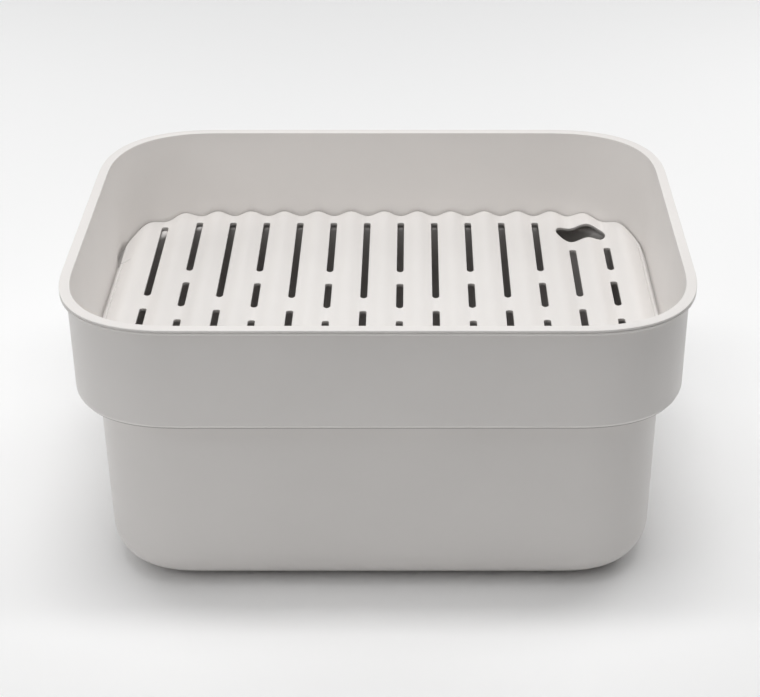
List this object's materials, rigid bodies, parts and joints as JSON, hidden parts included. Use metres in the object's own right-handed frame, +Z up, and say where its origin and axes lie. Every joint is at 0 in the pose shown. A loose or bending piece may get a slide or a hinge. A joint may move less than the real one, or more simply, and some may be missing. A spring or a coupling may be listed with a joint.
{
  "type": "draining basin with slotted tray",
  "caption": "Deep rounded rectangular plastic basin with a wide collar, a corrugated slotted draining tray that lifts out of the collar, and soft anti-slip feet under the base.",
  "frame": {"origin": "on the floor under the middle of the basin", "axes": "+X along the long side, to the right; +Y to the back, where the tray's finger hole is; +Z up"},
  "size_m": [0.37, 0.286, 0.19],
  "materials": {
    "basin_plastic": "fine satin moulded, warm light grey",
    "tray_plastic": "fine satin moulded, warm light grey",
    "foot_rubber": "soft matt, mid grey"
  },
  "bodies": {
    "basin": {"basin": "basin_plastic", "foot_rear_right": "foot_rubber", "foot_rear_left": "foot_rubber", "foot_front_left": "foot_rubber", "foot_front_right": "foot_rubber"},
    "tray": {"draining_tray": "tray_plastic"}
  },
  "joints": [
    {"name": "tray_lift", "type": "slide", "parent": "basin", "child": "tray", "axis": [0, 0, 1], "range_m": [0, 0.09]}
  ]
}
